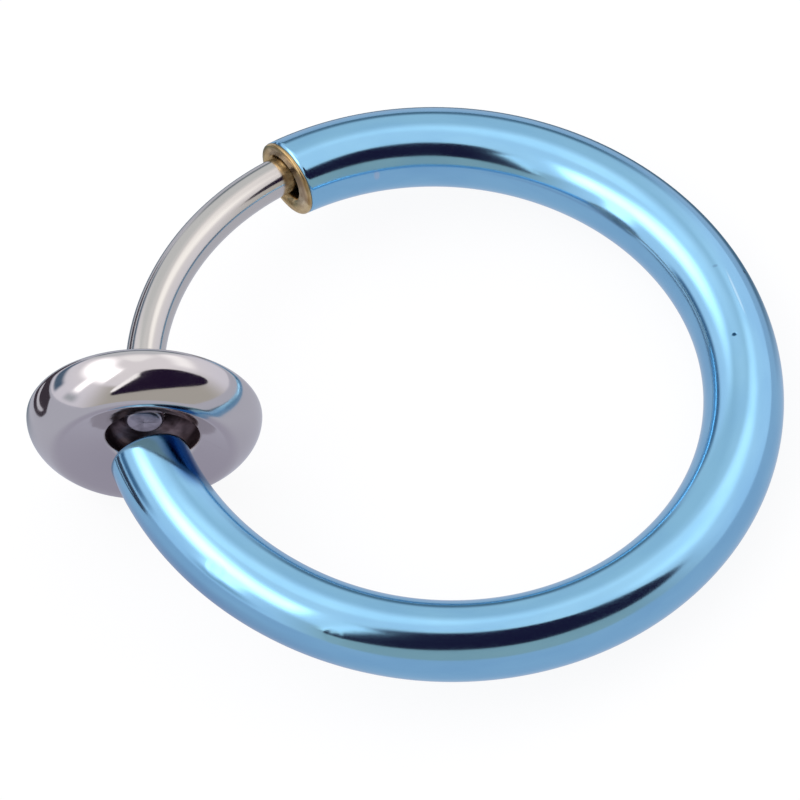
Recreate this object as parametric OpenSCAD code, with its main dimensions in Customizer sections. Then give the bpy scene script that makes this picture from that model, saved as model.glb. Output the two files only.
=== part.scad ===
// Clip-on nose ring: a hollow tube bent to an arc, with a rod that slides in its mouth.
// The rod carries a domed disc, which closes on the tube's lower end.
// Millimetres. +Z is up. The ring lies on its side and rests on the disc's rim and on the
// tube opposite the disc, so its plane is tilted. The origin is on the surface that it
// rests on, below the middle of the bounding box. Directions round the ring are angles in
// the ring's own plane, seen from above, and the disc lies at 180 degrees.

/* [Hoop] */
// Radius of the ring, to the middle of the tube
ring_r = 6.6; // [6:0.1:8]
// Radius of the tube's wider bend near its lower end
lower_bend_r = 7; // [6.8:0.1:7.4]
// Direction where that wider bend starts
lower_bend_angle = 235; // [225:1:250]
// Outside diameter of the tube
tube_d = 1.77; // [1.76:0.01:1.9]
// Wall thickness of the tube
tube_wall = 0.18; // [0.16:0.01:0.18]
// Direction of the tube's mouth
mouth_angle = 113.4; // [105:0.1:118]
// Angle by which the mouth faces in towards the ring's middle
mouth_lean = 6; // [0:0.5:7]
// Direction of the tube's lower end
lower_end_angle = 191.2; // [190.5:0.1:196]
// Angle by which the lower end's face is slanted, so that the tube is longest on its outer side
lower_end_slant = 3; // [0:0.5:4]
// Rounding of the rim at the lower end
lower_rim_round = 0.12; // [0.05:0.01:0.3]
// Thickness of the closed lower end
lower_end_wall = 0.4; // [0.2:0.05:1]

/* [Mouth collar] */
// Outside diameter of the collar
collar_d = 1.76; // [1.7:0.01:1.9]
// Length of the collar outside the tube
collar_len = 0.09; // [0.08:0.01:0.4]
// Rounding of the collar's outer edge
collar_round = 0.05; // [0.02:0.01:0.06]
// Diameter of the hole that guides the rod
collar_bore_d = 1.16; // [1.14:0.01:1.17]
// Distance of that hole from the collar's middle, outward
collar_bore_shift = 0.07; // [0.06:0.01:0.08]
// Outside diameter of the sleeve that sits in the tube
sleeve_d = 1.29; // [1.28:0.01:1.3]
// Length of that sleeve
sleeve_len = 0.2; // [0.1:0.01:0.25]

/* [Slide rod] */
// Diameter of the rod
rod_d = 0.86; // [0.8:0.01:0.88]
// Distance between the centre of the rod's arc and the centre of the ring
rod_shift = 0.235; // [0.2:0.005:0.24]
// Direction in which the rod's arc is shifted
rod_shift_angle = 84; // [80:1:90]
// Direction of the rod's hidden end in the tube
rod_tail_angle = 49; // [30:1:80]
// Height of the rod's end above the floor of the disc's recess
rod_end_proud = 0.2; // [0.05:0.01:0.3]

/* [Clip disc] */
// Diameter of the disc
disc_d = 5.16; // [4.8:0.02:5.3]
// Height that the dome's outer curve would reach over the middle
dome_h = 1.424; // [1.36:0.002:1.44]
// Thickness of the back behind the widest edge
back_t = 0.276; // [0.24:0.002:0.3]
// Width of the rounding of the back's edge
back_round_w = 0.3; // [0.2:0.01:0.6]
// Diameter of the crown, the highest circle of the dome
crown_d = 3.84; // [3.7:0.02:3.86]
// Slope of the crown's inner side
inner_slope = 24; // [18:1:26]
// Diameter of the recess
recess_d = 2; // [1.9:0.02:2.1]
// Distance of the recess from the disc's middle, towards the ring's middle
recess_shift = 0.18; // [0.05:0.01:0.2]
// Height of the recess's floor above the widest edge
floor_h = -0.05; // [-0.08:0.01:0.1]
// Angle by which the disc's recess faces away from the ring's middle
disc_lean = 7.1; // [6:0.1:8]
// Angle by which the disc's recess looks down out of the ring's plane
disc_dip = 3; // [0:0.5:4]

/* [Hidden] */
$fn = 96;

// Direction of the disc's middle, round the ring
disc_angle = 180;
// Air between pieces that are fitted into each other
fit_gap = 0.015;
// Length by which a cutting shape runs past what it cuts
cut_past = 0.5;
// The rod's straight end has a core of this length in the bent stretch that it grows from,
// and this much thinner, so that the two are one solid.
core_len = 0.2;
core_step = 0.03;
// The tube's wider bend reaches into the ring's own by this angle, and is this much thinner.
bend_overlap = 1;
bend_step = 0.005;
// Points in a quarter turn of a rounded edge
round_steps = 6;
// Points along the dome's outer curve
dome_steps = 12;
// Width of the flared edge round the recess
lip_w = 0.1;
// Rounding of the rod's tip in the recess
tip_round = 0.1;
// Share of the disc's radius at which the crown's rounding follows the dome's outer curve
crown_start_share = 0.81;

tube_r = tube_d / 2;
bore_r = tube_r - tube_wall;
disc_r = disc_d / 2;
rod_r = rod_d / 2;

// The ring lies on the disc's rim and on the tube opposite it.
rim_drop = sqrt(pow(disc_r * cos(disc_dip), 2) + pow(dome_h * sin(disc_dip), 2));
tilt = asin((rim_drop - tube_r) / (2 * ring_r));
lift = ring_r * sin(tilt) + tube_r;

// The middle of the ring stands where the bounding box has its middle over the origin.
disc_axis_angle = disc_angle - disc_lean;
axis_share = cos(tilt) * sin(disc_axis_angle);
disc_reach = sqrt(pow(disc_r, 2) * (1 - pow(axis_share, 2)) + pow(dome_h * axis_share, 2));
ring_x = (disc_reach - tube_r) / 2;

// The rod's arc runs into a short straight end on the disc's own axis.
rod_arc_r = ring_r * cos(disc_lean) - rod_shift * cos(rod_shift_angle - disc_axis_angle);
rod_end_len = ring_r * sin(disc_lean) + rod_shift * sin(disc_axis_angle - rod_shift_angle);

// The crown's rounding is tangent to the dome's outer curve where it starts.
crown_start = acos(crown_start_share);
crown_start_r = disc_r * crown_start_share;
crown_start_z = dome_h * sin(crown_start);
crown_slope = atan(dome_h * crown_start_share / (disc_r * sin(crown_start)));
crown_round = (crown_start_r - crown_d / 2) / sin(crown_slope);
crown_z = crown_start_z - crown_round * cos(crown_slope);
slope_start_r = crown_d / 2 - crown_round * sin(inner_slope);
slope_start_z = crown_z + crown_round * cos(inner_slope);

// The crown's inner side runs straight down to a plain hollow, which the recess cuts away.
recess_r = recess_d / 2;
hollow_r = recess_r / 2;
hollow_z = slope_start_z - (slope_start_r - hollow_r) * tan(inner_slope);
lip_z = slope_start_z - (slope_start_r - recess_r - lip_w) * tan(inner_slope) - lip_w;

// The middle of the tube's wider bend, which touches the ring's own arc where it starts
bend_gap = ring_r - lower_bend_r;
lower_bend_middle = bend_gap * [cos(lower_bend_angle), sin(lower_bend_angle), 0];

// Points on a round stretch of an outline, from one direction to another
function round_points(middle, r, from, to, steps) = [
    for (i = [0:steps])
        let (a = from + (to - from) * i / steps)
        middle + r * [cos(a), sin(a)]
];

// Points on the rounded edge of the back, up to the widest edge
function back_points() = [
    for (i = [0:round_steps - 1])
        let (a = 90 * i / round_steps - 90)
        [disc_r - back_round_w * (1 - cos(a)), back_t * sin(a)]
];

// Points on the dome's outer curve, from its widest edge to the crown's rounding
function dome_points() = [
    for (i = [0:dome_steps])
        let (a = crown_start * i / dome_steps)
        [disc_r * cos(a), dome_h * sin(a)]
];

// Lays the ring down on its side, over the origin.
module lie_down() {
    translate([ring_x, 0, lift])
        rotate([0, tilt, 0])
            children();
}

// A round bar bent about the ring's axis, from one direction to another
module bent_bar(arc_r, bar_r, from, to) {
    rotate([0, 0, from])
        rotate_extrude(angle = to - from)
            translate([arc_r, 0])
                circle(r = bar_r);
}

// Stands children at a direction round an arc, with their +Z forward along it.
module on_arc(arc_r, angle, lean = 0) {
    rotate([0, 0, angle])
        translate([arc_r, 0, 0])
            rotate([0, 0, -lean])
                rotate([-90, 0, 0])
                    children();
}

// The angle round the ring that an arc of a given length takes up
function arc_angle(length) = length / ring_r * 180 / PI;

// The lower end's face, with its rounded rim
module lower_end() {
    rotate_extrude()
        polygon(concat(
            [[0, 0], [0, -lower_rim_round]],
            round_points([tube_r - lower_rim_round, 0], lower_rim_round, -90, 0, round_steps)
        ));
}

// The tube's two bends as one bar. At each end it runs past the slanted face that cuts it.
module tube_bar(bar_r, lower_angle) {
    join = lower_bend_angle - 360;
    bent_bar(ring_r, bar_r, join, mouth_angle + arc_angle(cut_past));
    translate(lower_bend_middle)
        bent_bar(lower_bend_r, bar_r - bend_step, lower_angle, join + bend_overlap);
}

// Everything on the far side of a slanted face across the tube
module face_cut() {
    cylinder(h = 3 * cut_past, r = tube_r + cut_past);
}

module hoop_tube() {
    tube_start = lower_end_angle - 360 + arc_angle(lower_rim_round);
    color("#62B2E0")
        lie_down() {
            difference() {
                tube_bar(tube_r, tube_start - arc_angle(cut_past));
                on_arc(ring_r, mouth_angle, -mouth_lean)
                    face_cut();
                translate(lower_bend_middle)
                    on_arc(lower_bend_r, tube_start, lower_end_slant)
                        mirror([0, 0, 1])
                            face_cut();
                tube_bar(bore_r, tube_start + arc_angle(lower_end_wall));
            }
            translate(lower_bend_middle)
                on_arc(lower_bend_r, tube_start, lower_end_slant)
                    lower_end();
        }
}

module mouth_collar() {
    rim_r = collar_d / 2;
    color("#B99B6B")
        lie_down()
            on_arc(ring_r, mouth_angle, -mouth_lean)
                difference() {
                    rotate_extrude()
                        polygon(concat(
                            [[0, -sleeve_len], [sleeve_d / 2, -sleeve_len], [sleeve_d / 2, 0],
                                [rim_r, 0]],
                            round_points([rim_r - collar_round, collar_len - collar_round],
                                collar_round, 0, 90, round_steps),
                            [[0, collar_len]]
                        ));
                    translate([collar_bore_shift, 0, -sleeve_len - cut_past])
                        cylinder(h = sleeve_len + collar_len + 2 * cut_past, r = collar_bore_d / 2);
                }
}

// The rod's straight end on the disc's axis, with a rounded tip
module rod_end() {
    tip_h = rod_end_len + floor_h + rod_end_proud;
    core_r = rod_r - core_step;
    rotate_extrude()
        polygon(concat(
            [[0, -core_len], [core_r, -core_len], [core_r, 0], [rod_r, 0]],
            round_points([rod_r - tip_round, tip_h - tip_round], tip_round, 0, 90, round_steps),
            [[0, tip_h]]
        ));
}

module slide_rod() {
    color("#CFC9C4")
        lie_down()
            translate(rod_shift * [cos(rod_shift_angle), sin(rod_shift_angle), 0]) {
                bent_bar(rod_arc_r, rod_r, rod_tail_angle, disc_axis_angle);
                on_arc(rod_arc_r, disc_axis_angle)
                    rod_end();
            }
}

// The disc's solid shape, before the recess and the rod's hole are cut
module disc_blank() {
    rotate_extrude()
        polygon(concat(
            [[0, -back_t]],
            back_points(),
            dome_points(),
            round_points([crown_d / 2, crown_z], crown_round, 90 - crown_slope,
                90 + inner_slope, round_steps),
            [[hollow_r, hollow_z], [0, hollow_z]]
        ));
}

// The round recess, with its flared edge
module recess_cut() {
    flare_r = recess_r + lip_w + cut_past;
    rotate_extrude()
        polygon([[0, floor_h], [recess_r, floor_h], [recess_r, lip_z],
            [flare_r, lip_z + flare_r - recess_r], [0, lip_z + flare_r - recess_r]]);
}

module clip_disc() {
    color("#B9B4BF")
        lie_down()
            on_arc(ring_r, disc_angle, disc_lean)
                difference() {
                    rotate([-disc_dip, 0, 0])
                        difference() {
                            disc_blank();
                            translate([-recess_shift, 0, 0])
                                recess_cut();
                        }
                    translate([0, 0, -back_t - cut_past])
                        cylinder(h = back_t + 2 * cut_past, r = rod_r + fit_gap);
                }
}

hoop_tube();
mouth_collar();
slide_rod();
clip_disc();
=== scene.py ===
from math import acos, asin, atan, ceil, cos, degrees, hypot, pi, radians, sin, sqrt, tan

import bmesh
import bpy
from mathutils import Matrix, Vector


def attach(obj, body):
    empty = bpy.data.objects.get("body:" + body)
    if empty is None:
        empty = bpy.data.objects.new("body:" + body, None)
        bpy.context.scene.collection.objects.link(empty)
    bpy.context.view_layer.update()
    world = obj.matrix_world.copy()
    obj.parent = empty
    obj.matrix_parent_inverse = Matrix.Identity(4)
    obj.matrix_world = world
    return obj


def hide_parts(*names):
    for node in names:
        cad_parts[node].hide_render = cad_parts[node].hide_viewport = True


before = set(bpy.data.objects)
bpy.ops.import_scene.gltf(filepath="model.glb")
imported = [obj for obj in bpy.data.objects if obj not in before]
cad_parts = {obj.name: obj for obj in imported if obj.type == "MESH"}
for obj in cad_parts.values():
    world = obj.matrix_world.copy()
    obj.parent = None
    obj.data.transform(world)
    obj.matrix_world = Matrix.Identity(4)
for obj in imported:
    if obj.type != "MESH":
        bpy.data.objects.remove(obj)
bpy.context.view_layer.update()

MM = 0.001

# Driving sizes, those of the part's source. Angles are in degrees. A lean is outward and a
# pitch is upward, so a negative one is inward or down.
RING_R = 6.6 * MM
LOWER_BEND_R = 7.0 * MM
LOWER_BEND_ANGLE = 235
TUBE_R = 0.885 * MM
BORE_R = 0.705 * MM
MOUTH_ANGLE = 113.4
MOUTH_LEAN = -6
LOWER_END_ANGLE = 191.2
LOWER_END_LEAN = 3
LOWER_RIM_ROUND = 0.12 * MM
LOWER_END_WALL = 0.4 * MM
COLLAR_R = 0.88 * MM
COLLAR_LEN = 0.09 * MM
COLLAR_BORE_R = 0.58 * MM
COLLAR_BORE_SHIFT = 0.07 * MM
COLLAR_ROUND = 0.05 * MM
SLEEVE_R = 0.645 * MM
SLEEVE_LEN = 0.2 * MM
ROD_R = 0.43 * MM
ROD_SHIFT = 0.235 * MM
ROD_SHIFT_ANGLE = 84
ROD_TAIL_ANGLE = 49
ROD_END_PROUD = 0.2 * MM
TIP_ROUND = 0.1 * MM
DISC_ANGLE = 180
DISC_R = 2.58 * MM
DOME_H = 1.424 * MM
BACK_T = 0.276 * MM
BACK_ROUND_W = 0.3 * MM
CROWN_R = 1.92 * MM
INNER_SLOPE = 24
RECESS_R = 1.0 * MM
RECESS_SHIFT = 0.18 * MM
FLOOR_H = -0.05 * MM
DISC_LEAN = 7.1
DISC_PITCH = -3
FIT_GAP = 0.015 * MM

# Share of the disc's radius at which the dome's curve runs into the crown's rounding
CROWN_START_SHARE = 0.81

# Rounding of the recess's lip, which is a flared edge in the part's source
LIP_ROUND = 0.15 * MM

# Degrees round the ring in which the tube's rings turn to meet its slanted ends, and their number
END_RUN = 4
END_RINGS = 4

# Less than the smallest step between two surfaces that are told apart by their places
FLAT_STEP = 0.01 * MM

# Points that are nearer to each other than this are one point
SAME_PLACE = 1e-6 * MM

# Fineness of the skins
TUBE_SIDES = 128
ROD_SIDES = 80
DISC_SIDES = 192
DEGREES_PER_RING = 1.5
ROUND_STEPS = 8
BACK_STEPS = 12

# The ring lies on the disc's rim and on the tube opposite it, over the origin.
RIM_DROP = hypot(DISC_R * cos(radians(DISC_PITCH)), DOME_H * sin(radians(DISC_PITCH)))
TILT = asin((RIM_DROP - TUBE_R) / (2 * RING_R))
LIFT = RING_R * sin(TILT) + TUBE_R
DISC_AXIS_ANGLE = DISC_ANGLE - DISC_LEAN
AXIS_SHARE = cos(TILT) * sin(radians(DISC_AXIS_ANGLE))
DISC_REACH = hypot(DISC_R * sqrt(1 - AXIS_SHARE ** 2), DOME_H * AXIS_SHARE)
RING_X = (DISC_REACH - TUBE_R) / 2
RING = Matrix.Translation((RING_X, 0, LIFT)) @ Matrix.Rotation(TILT, 4, "Y")

# The rod's own arc, and the straight end that it runs into on the disc's axis
TO_ROD_ANGLE = radians(DISC_AXIS_ANGLE - ROD_SHIFT_ANGLE)
ROD_ARC_R = RING_R * cos(radians(DISC_LEAN)) - ROD_SHIFT * cos(TO_ROD_ANGLE)
ROD_END_LEN = RING_R * sin(radians(DISC_LEAN)) + ROD_SHIFT * sin(TO_ROD_ANGLE)
ROD_TIP_H = ROD_END_LEN + FLOOR_H + ROD_END_PROUD
ROD_ARC = RING @ Matrix.Rotation(radians(ROD_SHIFT_ANGLE), 4, "Z") \
    @ Matrix.Translation((ROD_SHIFT, 0, 0)) @ Matrix.Rotation(radians(-ROD_SHIFT_ANGLE), 4, "Z")

# The middle of the tube's wider bend near its lower end, which touches the ring's own arc
BEND_GAP = RING_R - LOWER_BEND_R
LOWER_BEND = RING @ Matrix.Translation((BEND_GAP * cos(radians(LOWER_BEND_ANGLE)),
                                        BEND_GAP * sin(radians(LOWER_BEND_ANGLE)), 0))


def along(arc, radius, angle, lean=0.0):
    """A place on an arc: its +X points outward from the arc's middle and its +Z forward along it."""
    return arc @ Matrix.Rotation(radians(angle), 4, "Z") @ Matrix.Translation((radius, 0, 0)) \
        @ Matrix.Rotation(radians(-lean), 4, "Z") @ Matrix.Rotation(radians(-90), 4, "X")


# The middles of the disc, of the start of the rod's straight end and of the tube's mouth
DISC_MIDDLE = along(RING, RING_R, DISC_ANGLE, DISC_LEAN) \
    @ Matrix.Rotation(radians(DISC_PITCH), 4, "X")
ROD_STRAIGHT = along(ROD_ARC, ROD_ARC_R, DISC_AXIS_ANGLE)
MOUTH = along(RING, RING_R, MOUTH_ANGLE, MOUTH_LEAN)


def forward(place, distance):
    """The place moved along its own Z axis."""
    return place @ Matrix.Translation((0, 0, distance))


def arc_angle(length):
    """The angle round the ring that an arc of this length takes up."""
    return degrees(length / RING_R)


def spread(start, end, step):
    """Evenly spaced values from start to end, about a step apart."""
    count = max(1, ceil(abs(end - start) / step))
    return [start + (end - start) * i / count for i in range(count + 1)]


def rounding(middle, radius, start, end):
    """Points (radius, height) on a rounded edge of an outline, from one direction to another."""
    return [(middle[0] + radius * cos(radians(a)), middle[1] + radius * sin(radians(a)))
            for a in spread(start, end, 90 / ROUND_STEPS)]


def put_in_scene(name, data):
    """An object of this name made from a mesh or a camera."""
    thing = bpy.data.objects.new(name, data)
    bpy.context.scene.collection.objects.link(thing)
    return thing


def skin(name, rings, sides, closed_loop=False):
    """A closed mesh through round rings. A ring is the place whose XY plane holds it, and a radius."""
    mesh = bmesh.new()
    turns = [2 * pi * k / sides for k in range(sides)]
    circles = [[mesh.verts.new(place @ Vector((r * cos(t), r * sin(t), 0))) for t in turns]
               for place, r in rings]
    pairs = list(zip(circles, circles[1:]))
    if closed_loop:
        pairs.append((circles[-1], circles[0]))
    for near, far in pairs:
        for k in range(sides):
            mesh.faces.new((near[k], near[k - 1], far[k - 1], far[k]))
    bmesh.ops.remove_doubles(mesh, verts=mesh.verts, dist=SAME_PLACE)
    bmesh.ops.recalc_face_normals(mesh, faces=mesh.faces)
    data = bpy.data.meshes.new(name)
    mesh.to_mesh(data)
    mesh.free()
    data.shade_smooth()
    return put_in_scene(name, data)


def place_piece(piece, body, node, finish):
    """Gives a piece its body and its finish, and hides the solid it stands for."""
    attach(piece, body)
    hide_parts(node)
    piece.data.materials.append(finish)


def tube_rings(lower, radius, step):
    """Rings along the tube, from its slanted mouth round the main bend to its slanted lower end."""
    rings = []
    for back in spread(0, END_RUN, END_RUN / END_RINGS)[:-1]:
        lean = MOUTH_LEAN * (1 - back / END_RUN)
        rings.append((along(RING, RING_R, MOUTH_ANGLE - back, lean), radius))
    join = LOWER_BEND_ANGLE - 360
    rings += [(along(RING, RING_R, a), radius) for a in spread(MOUTH_ANGLE - END_RUN, join, step)]
    rings += [(along(LOWER_BEND, LOWER_BEND_R, a), radius)
              for a in spread(join, lower + END_RUN, step)[1:-1]]
    for back in spread(END_RUN, 0, END_RUN / END_RINGS):
        lean = LOWER_END_LEAN * (1 - back / END_RUN)
        rings.append((along(LOWER_BEND, LOWER_BEND_R, lower + back, lean), radius))
    return rings


def make_hoop_tube():
    """The bent tube: its outside from the mouth to the rounded lower end, and its bore."""
    tube_start = LOWER_END_ANGLE - 360 + arc_angle(LOWER_RIM_ROUND)
    bore_end = tube_start + arc_angle(LOWER_END_WALL)
    lower_end = along(LOWER_BEND, LOWER_BEND_R, tube_start, LOWER_END_LEAN)
    rings = tube_rings(tube_start, TUBE_R, DEGREES_PER_RING)
    rim = rounding((TUBE_R - LOWER_RIM_ROUND, 0), LOWER_RIM_ROUND, 0, -90)
    rings += [(forward(lower_end, h), r) for r, h in rim]
    rings.append((forward(lower_end, -LOWER_RIM_ROUND), 0))
    bore = tube_rings(bore_end, BORE_R, 2 * DEGREES_PER_RING)[::-1]
    return skin("hoop_tube_skin", rings + [(bore[0][0], 0)] + bore, TUBE_SIDES, True)


def make_mouth_collar():
    """The bare collar: a thin rim outside the tube and a sleeve in its bore."""
    bore = MOUTH @ Matrix.Translation((COLLAR_BORE_SHIFT, 0, 0))
    outline = [(SLEEVE_R, -SLEEVE_LEN), (SLEEVE_R, 0), (COLLAR_R, 0)]
    outline += rounding((COLLAR_R - COLLAR_ROUND, COLLAR_LEN - COLLAR_ROUND), COLLAR_ROUND, 0, 90)
    rings = [(forward(bore, -SLEEVE_LEN), COLLAR_BORE_R)]
    rings += [(forward(MOUTH, h), r) for r, h in outline]
    rings.append((forward(bore, COLLAR_LEN), COLLAR_BORE_R))
    return skin("mouth_collar_skin", rings, TUBE_SIDES, True)


def make_slide_rod():
    """The rod: its own arc, a straight end on the disc's axis and a rounded tip."""
    rings = [(along(ROD_ARC, ROD_ARC_R, ROD_TAIL_ANGLE), 0)]
    rings += [(along(ROD_ARC, ROD_ARC_R, a), ROD_R)
              for a in spread(ROD_TAIL_ANGLE, DISC_AXIS_ANGLE, DEGREES_PER_RING)]
    tip = rounding((ROD_R - TIP_ROUND, ROD_TIP_H - TIP_ROUND), TIP_ROUND, 0, 90)
    rings += [(forward(ROD_STRAIGHT, h), r) for r, h in tip + [(0, ROD_TIP_H)]]
    return skin("slide_rod_skin", rings, ROD_SIDES)


def disc_outline():
    """Points (radius, height) of the disc's outline, from its rim over the crown to the recess."""
    crown_start = acos(CROWN_START_SHARE)
    start_r = DISC_R * CROWN_START_SHARE
    start_z = DOME_H * sin(crown_start)
    slope = atan(DOME_H * start_r / (DISC_R ** 2 * sin(crown_start)))
    crown_round = (start_r - CROWN_R) / sin(slope)
    crown_z = start_z - crown_round * cos(slope)
    inner = radians(INNER_SLOPE)
    slope_start_r = CROWN_R - crown_round * sin(inner)
    slope_start_z = crown_z + crown_round * cos(inner)
    lip_middle_r = RECESS_R + LIP_ROUND
    lip_start_r = lip_middle_r - LIP_ROUND * sin(inner)
    lip_start_z = slope_start_z - (slope_start_r - lip_start_r) * tan(inner)
    lip_middle_z = lip_start_z - LIP_ROUND * cos(inner)
    dome = [(DISC_R * cos(radians(a)), DOME_H * sin(radians(a)))
            for a in spread(0, degrees(crown_start), DEGREES_PER_RING)]
    crown = rounding((CROWN_R, crown_z), crown_round, 90 - degrees(slope), 90 + INNER_SLOPE)
    lip = rounding((lip_middle_r, lip_middle_z), LIP_ROUND, 90 + INNER_SLOPE, 180)
    return dome + crown + lip


def make_clip_disc():
    """The domed disc with its rounded back edge and its round recess.

    Down the crown's inner side the rings move over smoothly to the recess's own middle.
    """
    back = [(DISC_R - BACK_ROUND_W * (1 - cos(radians(a))), BACK_T * sin(radians(a)))
            for a in spread(-90, 0, 90 / BACK_STEPS)]
    rings = []
    for r, h in back[:-1] + disc_outline() + [(RECESS_R, FLOOR_H)]:
        share = min(1, max(0, (CROWN_R - r) / (CROWN_R - RECESS_R - LIP_ROUND)))
        aside = -RECESS_SHIFT * share * share * (3 - 2 * share)
        rings.append((forward(DISC_MIDDLE @ Matrix.Translation((aside, 0, 0)), h), r))
    for h in (FLOOR_H, -BACK_T):
        on_rod = DISC_MIDDLE @ Matrix.Translation((0, h * tan(radians(DISC_PITCH)), 0))
        rings.append((forward(on_rod, h), ROD_R + FIT_GAP))
    return skin("clip_disc_skin", rings, DISC_SIDES, True)


def linear(hex_colour):
    """A linear RGBA colour from an sRGB hex value."""
    parts = [int(hex_colour[i:i + 2], 16) / 255 for i in (1, 3, 5)]
    return [c / 12.92 if c <= 0.04045 else ((c + 0.055) / 1.055) ** 2.4 for c in parts] + [1.0]


def add(tree, kind, inputs=None, **settings):
    """Adds a node. Each input is a value, an sRGB hex colour or another node's output."""
    node = tree.nodes.new(kind)
    for setting, value in settings.items():
        setattr(node, setting, value)
    for socket, value in (inputs or {}).items():
        if isinstance(value, bpy.types.NodeSocket):
            tree.links.new(value, node.inputs[socket])
        else:
            node.inputs[socket].default_value = linear(value) if isinstance(value, str) else value
    return node


def new_finish(name):
    """An empty material and its node tree."""
    finish = bpy.data.materials.new(name)
    finish.use_nodes = True
    finish.node_tree.nodes.clear()
    return finish, finish.node_tree


def mask_edge(tree, value, middle, soft, rising):
    """Fades from 0 to 1 across an edge, or from 1 to 0."""
    return add(tree, "ShaderNodeMapRange", {
        "Value": value, "From Min": middle - soft / 2, "From Max": middle + soft / 2,
        "To Min": 0.0 if rising else 1.0, "To Max": 1.0 if rising else 0.0},
        interpolation_type="SMOOTHSTEP").outputs["Result"]


def overlap(tree, masks):
    """A mask that is 1 only where all of these are."""
    whole = masks[0]
    for mask in masks[1:]:
        whole = add(tree, "ShaderNodeMath", {0: whole, 1: mask}, operation="MULTIPLY").outputs[0]
    return whole


def round_coords(tree, place, radius):
    """A surface's own coordinates in mm round a place's Z axis: along the turn, outward and up."""
    spot = add(tree, "ShaderNodeTexCoord").outputs["Object"]
    local = add(tree, "ShaderNodeMapping", {
        "Vector": spot, "Location": place.translation, "Rotation": place.to_euler(),
        "Scale": (MM, MM, MM)}, vector_type="TEXTURE").outputs["Vector"]
    parts = add(tree, "ShaderNodeSeparateXYZ", {"Vector": local}).outputs
    turn = add(tree, "ShaderNodeMath", {0: parts["Y"], 1: parts["X"]}, operation="ARCTAN2")
    length = add(tree, "ShaderNodeMath", {0: turn.outputs[0], 1: radius / MM},
                 operation="MULTIPLY")
    flat = add(tree, "ShaderNodeCombineXYZ", {"X": parts["X"], "Y": parts["Y"]})
    out = add(tree, "ShaderNodeVectorMath", {0: flat.outputs[0]}, operation="LENGTH")
    return add(tree, "ShaderNodeCombineXYZ", {
        "X": length.outputs[0], "Y": out.outputs["Value"], "Z": parts["Z"]}).outputs[0]


def unevenness(tree, coords, sizes, detail=2.0):
    """A value that wanders between 0 and 1, over these distances in mm along each coordinate."""
    spot = add(tree, "ShaderNodeMapping", {"Vector": coords, "Scale": [1 / size for size in sizes]})
    return add(tree, "ShaderNodeTexNoise", {
        "Vector": spot.outputs["Vector"], "Scale": 1.0, "Detail": detail}).outputs["Fac"]


# Most of an uneven value lies between these two
UNEVEN_LOW = 0.35
UNEVEN_HIGH = 0.65


def spread_over(tree, value, low, high):
    """Takes the middle of an uneven value's range to the range from low to high."""
    return add(tree, "ShaderNodeMapRange", {
        "Value": value, "From Min": UNEVEN_LOW, "From Max": UNEVEN_HIGH,
        "To Min": low, "To Max": high}).outputs["Result"]


def two_tones(tree, patches, tone, other):
    """A colour that wanders from one tone to another in patches."""
    return add(tree, "ShaderNodeMix", {0: spread_over(tree, patches, 0, 1), 6: tone, 7: other},
               data_type="RGBA").outputs[2]


def relief(tree, layers):
    """The surface's small heights: layers are values with their heights in mm, added up."""
    height = 0.0
    for value, rise in layers:
        height = add(tree, "ShaderNodeMath", {0: value, 1: rise, 2: height},
                     operation="MULTIPLY_ADD").outputs[0]
    return add(tree, "ShaderNodeBump", {
        "Strength": 1.0, "Distance": MM, "Height": height}).outputs["Normal"]


def metal(tree, colour, roughness, normal):
    """Ends a metal finish. The colour and the roughness may be one value or come from a node."""
    shader = add(tree, "ShaderNodeBsdfPrincipled", {
        "Base Color": colour, "Metallic": 1.0, "Roughness": roughness, "Normal": normal})
    add(tree, "ShaderNodeOutputMaterial", {"Surface": shader.outputs["BSDF"]})


# Marks on the tube: degrees round the ring, degrees round the tube from its outer side
# over its top, half sizes in mm along the ring and round the tube, and height in mm. A dark mark
# is a pit or nick, and a pale one is plating worn thin, but the crease's pale colour is a painted
# highlight along it. The deep blue one near the lower end is a painted reflection of the disc's
# dark recess, and a mark with no colour is only a dent.
TUBE_MARKS = [
    {"name": "pit", "at": (1.9, 100), "size": (0.06, 0.075), "height": -0.01, "colour": "#1F4A6B"},
    {"name": "edge_nick", "at": (16.4, 40), "size": (0.05, 0.07), "height": -0.01,
     "colour": "#3F6A8C"},
    {"name": "long_edge_nick", "at": (14.3, 32), "size": (0.16, 0.03), "height": -0.006,
     "colour": "#4F7E9F"},
    {"name": "smudge", "at": (18.2, 88), "size": (0.05, 0.09), "height": 0.0,
     "colour": "#84B4D4"},
    # The crease's bump is real, and its pale colour is a painted highlight along it
    {"name": "crease", "at": (11.5, 78), "size": (0.75, 0.04), "height": 0.002,
     "colour": "#B4DDF5"},
    {"name": "worn_patch", "at": (97, 161), "size": (0.09, 0.17), "height": 0.001,
     "colour": "#AECBE4"},
    {"name": "hairline", "at": (80.5, 129), "size": (0.016, 0.1), "height": -0.0005,
     "colour": "#C3D3E4"},
    # Painted reflection: deep blue standing in for the disc's dark recess, mirrored near the tube's
    # lower end
    {"name": "deep_blue_painted_reflection", "at": (195, 121), "size": (1.1, 0.58), "height": 0.0,
     "colour": "#2B64A6"},
    {"name": "dent_at_lower_left", "at": (219, 44), "size": (0.3, 0.26), "height": -0.003,
     "colour": None},
    {"name": "dent_on_the_front", "at": (243, 38), "size": (0.26, 0.2), "height": -0.002,
     "colour": None},
]

# Shares of its half size: how far out a mark fades, and over what width
MARK_EDGE = 0.7
MARK_SOFT = 0.6


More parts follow.
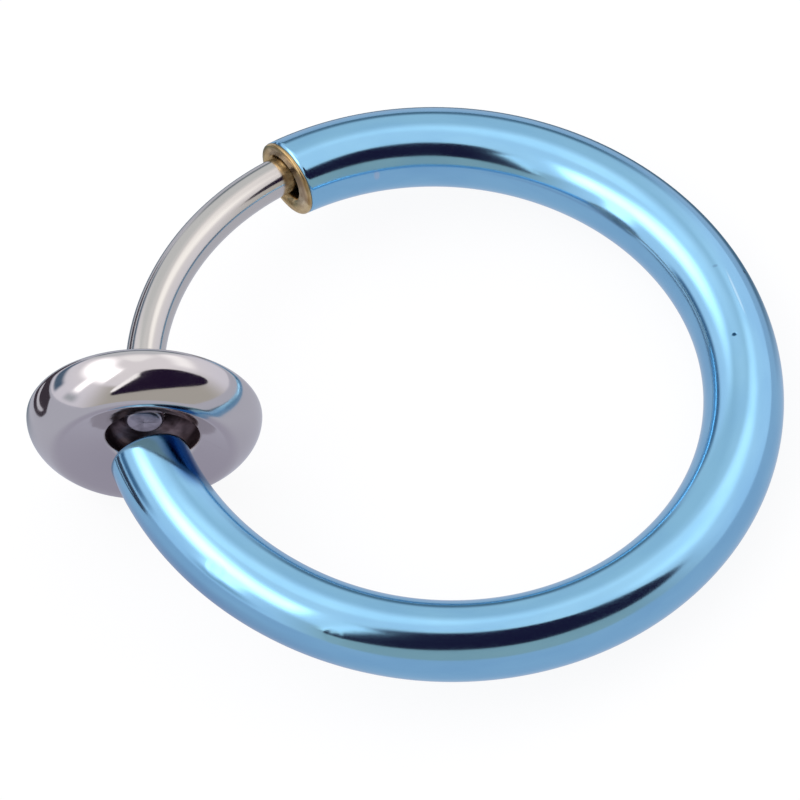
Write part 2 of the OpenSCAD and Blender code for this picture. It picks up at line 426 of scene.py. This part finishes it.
def mark_mask(tree, mark):
    """A soft-edged oval on the tube's surface, 1 in its middle."""
    ring_angle, tube_angle = mark["at"]
    along_ring, round_tube = (size * MM for size in mark["size"])
    place = along(RING, RING_R, ring_angle) @ Matrix.Rotation(radians(-tube_angle), 4, "Z") \
        @ Matrix.Translation((TUBE_R, 0, 0))
    spot = add(tree, "ShaderNodeTexCoord").outputs["Object"]
    local = add(tree, "ShaderNodeMapping", {
        "Vector": spot, "Location": place.translation, "Rotation": place.to_euler(),
        "Scale": (TUBE_R / 2, round_tube, along_ring)}, label=mark["name"], vector_type="TEXTURE")
    reach = add(tree, "ShaderNodeVectorMath", {0: local.outputs["Vector"]}, operation="LENGTH")
    return mask_edge(tree, reach.outputs["Value"], MARK_EDGE, MARK_SOFT, False)


def blue_plating():
    """Brass tube plated mirror-bright blue: reflections keep their shapes and turn blue.

    Polishing leaves faint lines along the tube, drawn coarser than the real ones so they show.
    """
    finish, tree = new_finish("blue_mirror_plating_on_brass")
    coords = round_coords(tree, RING, RING_R)
    waves = unevenness(tree, coords, (2.4, 1.2, 1.2))
    lines = unevenness(tree, coords, (5, 0.11, 0.11))
    smears = unevenness(tree, coords, (1.6, 0.5, 0.5), 4.0)
    colour = two_tones(tree, smears, "#97CDEC", "#90C6E8")
    layers = [(waves, 0.009), (lines, 0.0002)]
    for mark in TUBE_MARKS:
        mask = mark_mask(tree, mark)
        layers.append((mask, mark["height"]))
        if mark["colour"]:
            colour = add(tree, "ShaderNodeMix", {0: mask, 6: colour, 7: mark["colour"]},
                         data_type="RGBA").outputs[2]
    metal(tree, colour, spread_over(tree, smears, 0.11, 0.16), relief(tree, layers))
    return finish


def bare_brass():
    """Turned brass left bare where the plating stops: tan, dulled and browner in patches."""
    finish, tree = new_finish("bare_turned_brass")
    coords = round_coords(tree, MOUTH, COLLAR_R)
    patches = unevenness(tree, coords, (0.5, 0.2, 0.2), 4.0)
    turning = unevenness(tree, coords, (3, 0.04, 0.04))
    colour = two_tones(tree, patches, "#DABF8C", "#A78656")
    metal(tree, colour, spread_over(tree, patches, 0.24, 0.38), relief(tree, [(turning, 0.0012)]))
    return finish


def polished_rod():
    """Drawn steel wire, polished bright, with the drawing's faint lines along it."""
    finish, tree = new_finish("polished_steel_wire")
    coords = round_coords(tree, ROD_ARC, ROD_ARC_R)
    lines = unevenness(tree, coords, (6, 0.07, 0.07))
    waves = unevenness(tree, coords, (2, 0.8, 0.8))
    metal(tree, "#D2CDC8", 0.13, relief(tree, [(lines, 0.0006), (waves, 0.004)]))
    return finish


def peened_tip():
    """The rod's end, hammered over to hold the disc: grey, dimpled and a little dull."""
    finish, tree = new_finish("peened_steel")
    coords = round_coords(tree, DISC_MIDDLE, ROD_R)
    dimples = unevenness(tree, coords, (0.4, 0.3, 0.3))
    colour = two_tones(tree, dimples, "#8C8890", "#B9B5BD")
    metal(tree, colour, 0.3, relief(tree, [(dimples, 0.012)]))
    return finish


def polished_disc():
    """Bright nickel plating over a turned disc, with its turning marks nearly polished out."""
    finish, tree = new_finish("bright_nickel_plating")
    coords = round_coords(tree, DISC_MIDDLE, DISC_R)
    turning = unevenness(tree, coords, (30, 0.13, 3))
    waves = unevenness(tree, coords, (2.2, 1.1, 1.1))
    smears = unevenness(tree, coords, (1.2, 0.6, 0.6), 4.0)
    metal(tree, "#CFCACA", spread_over(tree, smears, 0.06, 0.12),
          relief(tree, [(turning, 0.0005), (waves, 0.008)]))
    return finish


def recess_painted_shade():
    """Turned steel in the recess, dull, with brown-black tones in patches that paint the shade and
    dark reflections inside the recess.
    """
    finish, tree = new_finish("recess_steel_painted_shade")
    coords = round_coords(tree, DISC_MIDDLE, RECESS_R)
    turning = unevenness(tree, coords, (6, 0.06, 0.06))
    dark_patches = unevenness(tree, coords, (0.6, 0.3, 0.3), 4.0)
    # Painted shade: these dark tones stand in for the shade and dark reflections inside the recess
    colour = two_tones(tree, dark_patches, "#43363A", "#77686D")
    metal(tree, colour, spread_over(tree, dark_patches, 0.45, 0.3), relief(tree, [(turning, 0.003)]))
    return finish


def second_finish(piece, place, finish, chosen):
    """Gives another finish to the faces that a test picks by their middles, seen from a place."""
    piece.data.materials.append(finish)
    to_place = place.inverted()
    for face in piece.data.polygons:
        face.material_index = int(chosen(to_place @ face.center))


def in_recess(spot):
    """Whether a face of the disc is on its recess's wall or floor."""
    from_middle = hypot(spot.x + RECESS_SHIFT, spot.y)
    return spot.z > FLOOR_H - FLAT_STEP and from_middle < RECESS_R + FLAT_STEP


def on_rod_tip(spot):
    """Whether a face of the rod is on its tip."""
    return spot.z > ROD_TIP_H - TIP_ROUND


# The studio, as directions seen from the ring. Azimuth 0 is towards the camera's side, -Y, and
# grows to the right. A panel's ends are degrees of azimuth and elevation. Soft is the width of
# its faded edges: left, right, lower and upper. Lean is how far its left and right edges shift
# for each degree above its lower end.
PANELS = [
    {"name": "far_wall_left", "light": "#587088", "power": 1.0,
     "azimuth": (-160, -96), "elevation": (3, 16), "soft": (18, 10, 5, 8), "lean": (0, 0)},
    {"name": "far_wall_near_left", "light": "#BCC3CA", "power": 1.0,
     "azimuth": (-76, -60), "elevation": (4, 13), "soft": (10, 10, 6, 8), "lean": (0, 0)},
    {"name": "wall_behind", "light": "#DEE2E6", "power": 1.0,
     "azimuth": (148, 208), "elevation": (10, 54), "soft": (16, 16, 10, 16), "lean": (0, 0)},
    {"name": "far_wall_behind", "light": "#6F7F8A", "power": 1.0,
     "azimuth": (150, 196), "elevation": (-6, 13), "soft": (16, 8, 4, 12), "lean": (0, 0)},
    {"name": "wall_below_camera", "light": "#C2C0B8", "power": 1.0,
     "azimuth": (-44, 66), "elevation": (-6, 34), "soft": (30, 44, 10, 8), "lean": (0, 0)},
    {"name": "left_softbox", "light": "#FFFFFF", "power": 3.1,
     "azimuth": (-132, -47), "elevation": (42, 66), "soft": (60, 6, 22, 20), "lean": (0, 0)},
    {"name": "left_softbox_tail", "light": "#FFFFFF", "power": 2.1,
     "azimuth": (-73, -63), "elevation": (18, 42), "soft": (6, 4, 8, 8), "lean": (-0.15, 0)},
    {"name": "right_panel", "light": "#FFFFFF", "power": 1.4,
     "azimuth": (84, 142), "elevation": (38, 56), "soft": (20, 24, 14, 16), "lean": (0, 0)},
    {"name": "ceiling_lamp", "light": "#FFFFFF", "power": 1.25,
     "azimuth": (140, 210), "elevation": (62, 84), "soft": (30, 24, 12, 12), "lean": (0, 0)},
]

# The room between the panels: its tone below and above, the elevation at which one fades into
# the other and over how many degrees, and its strength
ROOM_LOWER = "#E0E0EA"
ROOM_UPPER = "#EDEBEE"
ROOM_FADE_MIDDLE = 30
ROOM_FADE_SOFT = 60
ROOM_STRENGTH = 1.2


def panel_mask(tree, panel, azimuth, elevation):
    """1 inside a panel, and fading to 0 across its soft edges. It may cross azimuth 180."""
    middle = sum(panel["azimuth"]) / 2
    turned = add(tree, "ShaderNodeMath", {0: azimuth, 1: middle + 180, 2: middle - 180},
                 operation="WRAP").outputs[0]
    masks = []
    for side, rising in enumerate((True, False)):
        lean = panel["lean"][side]
        across = add(tree, "ShaderNodeMath", {0: elevation, 1: -lean, 2: turned},
                     operation="MULTIPLY_ADD").outputs[0]
        edge = panel["azimuth"][side] - lean * panel["elevation"][0]
        masks.append(mask_edge(tree, across, edge, panel["soft"][side], rising))
        masks.append(mask_edge(tree, elevation, panel["elevation"][side],
                               panel["soft"][2 + side], rising))
    return overlap(tree, masks)


def studio_room():
    """A light room round the ring, with lit panels. The camera sees a plain backdrop instead."""
    world = bpy.data.worlds.new("studio_room")
    bpy.context.scene.world = world
    world.use_nodes = True
    tree = world.node_tree
    tree.nodes.clear()
    direction = add(tree, "ShaderNodeTexCoord").outputs["Generated"]
    parts = add(tree, "ShaderNodeSeparateXYZ", {"Vector": direction}).outputs
    near = add(tree, "ShaderNodeMath", {0: parts["Y"], 1: -1.0}, operation="MULTIPLY").outputs[0]
    turn = add(tree, "ShaderNodeMath", {0: parts["X"], 1: near}, operation="ARCTAN2").outputs[0]
    azimuth = add(tree, "ShaderNodeMath", {0: turn}, operation="DEGREES").outputs[0]
    rise = add(tree, "ShaderNodeMath", {0: parts["Z"]}, operation="ARCSINE").outputs[0]
    elevation = add(tree, "ShaderNodeMath", {0: rise}, operation="DEGREES").outputs[0]
    height = mask_edge(tree, elevation, ROOM_FADE_MIDDLE, ROOM_FADE_SOFT, True)
    light = add(tree, "ShaderNodeMix", {0: height, 6: ROOM_LOWER, 7: ROOM_UPPER},
                data_type="RGBA").outputs[2]
    for panel in PANELS:
        mask = panel_mask(tree, panel, azimuth, elevation)
        glow = [c * panel["power"] / ROOM_STRENGTH for c in linear(panel["light"])[:3]] + [1.0]
        light = add(tree, "ShaderNodeMix", {0: mask, 6: light, 7: glow}, label=panel["name"],
                    data_type="RGBA").outputs[2]
    room = add(tree, "ShaderNodeBackground", {"Color": light, "Strength": ROOM_STRENGTH})
    backdrop = add(tree, "ShaderNodeBackground", {"Color": "#F6F6F7", "Strength": 1.0})
    seen = add(tree, "ShaderNodeLightPath").outputs["Is Camera Ray"]
    mixed = add(tree, "ShaderNodeMixShader", {
        0: seen, 1: room.outputs[0], 2: backdrop.outputs[0]})
    add(tree, "ShaderNodeOutputWorld", {"Surface": mixed.outputs[0]})


# Light that the paper gives off, so that it is nearly as pale as the backdrop
PAPER_GLOW = 0.895

# The paper's shade that the polished metal mirrors. Behind the ring it is a band between two
# distances from the origin, which starts this far back, and under the clip it is a round patch.
BAND_START = 2 * MM
BAND_START_SOFT = 4 * MM
BAND_NEAR = 8.4 * MM
BAND_FAR = 11 * MM
BAND_SOFT = 2 * MM
CLIP_SHADE_AT = (-6 * MM, -3.5 * MM, 0)
CLIP_SHADE_R = 3.5 * MM
CLIP_SHADE_SOFT = 7 * MM


def table_paper():
    """Matt white paper, which the polished metal mirrors as a pale lilac grey."""
    finish, tree = new_finish("matt_white_paper")
    sheet = add(tree, "ShaderNodeBsdfDiffuse", {"Color": "#5C5C5E"})
    glow = add(tree, "ShaderNodeEmission", {"Color": "#FFFFFF", "Strength": PAPER_GLOW})
    paper = add(tree, "ShaderNodeAddShader", {0: sheet.outputs[0], 1: glow.outputs[0]})
    place = add(tree, "ShaderNodeNewGeometry").outputs["Position"]
    back = add(tree, "ShaderNodeSeparateXYZ", {"Vector": place}).outputs["Y"]
    out = add(tree, "ShaderNodeVectorMath", {0: place}, operation="LENGTH").outputs["Value"]
    band = overlap(tree, [mask_edge(tree, back, BAND_START, BAND_START_SOFT, True),
                          mask_edge(tree, out, BAND_NEAR, BAND_SOFT, True),
                          mask_edge(tree, out, BAND_FAR, BAND_SOFT, False)])
    from_clip = add(tree, "ShaderNodeVectorMath", {0: place, 1: CLIP_SHADE_AT},
                    operation="DISTANCE").outputs["Value"]
    patch = mask_edge(tree, from_clip, CLIP_SHADE_R, CLIP_SHADE_SOFT, False)
    tone = "#C8CBD8"
    for mask, shade in ((band, "#5F7482"), (patch, "#AFAEC0")):
        tone = add(tree, "ShaderNodeMix", {0: mask, 6: tone, 7: shade},
                   data_type="RGBA").outputs[2]
    mirrored = add(tree, "ShaderNodeEmission", {"Color": tone, "Strength": 1.0})
    seen = add(tree, "ShaderNodeLightPath").outputs["Is Camera Ray"]
    mixed = add(tree, "ShaderNodeMixShader", {
        0: seen, 1: mirrored.outputs[0], 2: paper.outputs[0]})
    add(tree, "ShaderNodeOutputMaterial", {"Surface": mixed.outputs[0]})
    return finish


def stage_sheet(name, corners, finish):
    """A flat sheet beside the ring, which isn't part of it."""
    data = bpy.data.meshes.new(name)
    data.from_pydata(corners, [], [range(len(corners))])
    data.materials.append(finish)
    sheet = put_in_scene(name, data)
    return sheet


# Half the width of the table's top
TABLE_HALF = 600 * MM


def make_table():
    """The pale floor that the ring lies on."""
    corners = [(-TABLE_HALF, -TABLE_HALF, 0), (TABLE_HALF, -TABLE_HALF, 0),
               (TABLE_HALF, TABLE_HALF, 0), (-TABLE_HALF, TABLE_HALF, 0)]
    stage_sheet("table_top", corners, table_paper())


def rounded(corners):
    """The outline with its corners cut twice over, so that no corner stays sharp."""
    for _ in range(2):
        corners = [start.lerp(end, part) for start, end in zip(corners, corners[1:] + corners[:1])
                   for part in (0.25, 0.75)]
    return corners


def make_card(name, corners, colour, strength):
    """A sheet that only the polished metal sees, with its corners in mm and rounded off."""
    finish, tree = new_finish(name + "_finish")
    glow = add(tree, "ShaderNodeEmission", {"Color": colour, "Strength": strength})
    add(tree, "ShaderNodeOutputMaterial", {"Surface": glow.outputs[0]})
    card = stage_sheet(name, rounded([Vector(c) * MM for c in corners]), finish)
    card.visible_camera = False
    card.visible_diffuse = False
    card.visible_shadow = False


# The camera and its stand, as the polished metal mirrors them: a dark plate that leans over the
# ring, and the bright edge along its left side. Corners run from the lower left round to the
# upper left, in mm from the origin.
STAND_CORNERS = [(-66, -86, 36), (-30, -96, 52), (8, -113, 65), (60, -98, 58), (106, -66, 45),
                 (102, -34, 49), (36, -17, 58), (-2, -17, 55), (-13, -34, 46)]
STAND_EDGE = [(-42, -63, 38), (-12, -34, 46), (-4, -25, 52)]
STAND_EDGE_WIDTH = 7


def make_stand():
    """The dark plate and its bright left edge."""
    make_card("camera_stand", STAND_CORNERS, "#241634", 0.9)
    beside = [(x - STAND_EDGE_WIDTH, y, z) for x, y, z in STAND_EDGE[::-1]]
    make_card("stand_edge", STAND_EDGE + beside, "#FFFFFF", 1.4)


# Two sheets to the left that only the metal sees: a dark one that paints dark reflected lines
# into the disc and the rod, and a bright streak on it that paints a reflected highlight. Corners in
# mm from the origin, nearest to the clip first.
DARK_CARD_CORNERS = [(-14.6, -0.6), (-13.2, 2.2), (-12.2, 6), (-9.5, 12), (-20, 40), (-80, 60), (-80, 6),
               (-21, -1.6)]
STREAK_CARD_CORNERS = [(-15.6, 0.6), (-14.9, 2.6), (-15.2, 6), (-18, 11), (-20, 9), (-17.6, 5.6),
              (-17.2, 2.8), (-18.2, -0.2)]
DARK_CARD_HEIGHT = 0.2
STREAK_HEIGHT = 0.3


def make_reflection_cards():
    """The dark sheet and the bright streak on it, painted reflections in the disc and the rod."""
    # Painted reflections: dark lines and a bright streak in the disc and the rod
    make_card("dark_reflection_card", [(x, y, DARK_CARD_HEIGHT) for x, y in DARK_CARD_CORNERS], "#453E48", 1.0)
    make_card("streak_reflection_card", [(x, y, STREAK_HEIGHT) for x, y in STREAK_CARD_CORNERS], "#D6D6E0", 1.0)


# The photograph's view of the ring: the picture's width in pixels, where the ring's middle lies
# in it, how many pixels the ring's radius takes up, how many degrees the camera stands over its
# plane, and how far the picture and the ring in its own plane are turned.
PICTURE_PX = 800
RING_MIDDLE_PX = (443.1, 390.5)
RING_RADIUS_PX = 301.1
VIEW_ELEVATION = 55.1
PICTURE_TURN = 4.17
RING_TURN = 11.2

# The camera's distance in radii of the ring, its sensor's width in mm, and the nearest and
# farthest that it sees
DISTANCE_RADII = 40
SENSOR_WIDTH = 36.0
NEAREST_SEEN = 10 * MM
FARTHEST_SEEN = 10000 * MM


def make_camera():
    """The camera, far off with a long lens, as the photograph was taken."""
    rise = radians(VIEW_ELEVATION)
    ring_axes = RING.to_3x3() @ Matrix.Rotation(radians(-RING_TURN), 3, "Z")
    level, away, normal = ring_axes.col
    upward = away * sin(rise) + normal * cos(rise)
    back = normal * sin(rise) - away * cos(rise)
    turn = radians(PICTURE_TURN)
    right = level * cos(turn) + upward * sin(turn)
    up = upward * cos(turn) - level * sin(turn)
    metres_per_px = RING_R / RING_RADIUS_PX
    distance = DISTANCE_RADII * RING_R
    place = RING.translation + distance * back
    place -= (RING_MIDDLE_PX[0] - PICTURE_PX / 2) * metres_per_px * right
    place += (RING_MIDDLE_PX[1] - PICTURE_PX / 2) * metres_per_px * up
    data = bpy.data.cameras.new("camera")
    data.sensor_width = SENSOR_WIDTH
    data.lens = SENSOR_WIDTH * distance / (PICTURE_PX * metres_per_px)
    data.clip_start = NEAREST_SEEN
    data.clip_end = FARTHEST_SEEN
    camera = put_in_scene("camera", data)
    camera.matrix_world = Matrix.Translation(place) \
        @ Matrix((right, up, back)).transposed().to_4x4()
    bpy.context.scene.camera = camera


make_camera()
studio_room()
make_table()
make_stand()
make_reflection_cards()
place_piece(make_hoop_tube(), "hoop", "hoop_tube", blue_plating())
place_piece(make_mouth_collar(), "hoop", "mouth_collar", bare_brass())
slide_rod = make_slide_rod()
place_piece(slide_rod, "clip", "slide_rod", polished_rod())
second_finish(slide_rod, ROD_STRAIGHT, peened_tip(), on_rod_tip)
clip_disc = make_clip_disc()
place_piece(clip_disc, "clip", "clip_disc", polished_disc())
# The recess's faces get the finish with its painted shade
second_finish(clip_disc, DISC_MIDDLE, recess_painted_shade(), in_recess)
bpy.context.scene.view_settings.view_transform = "Standard"
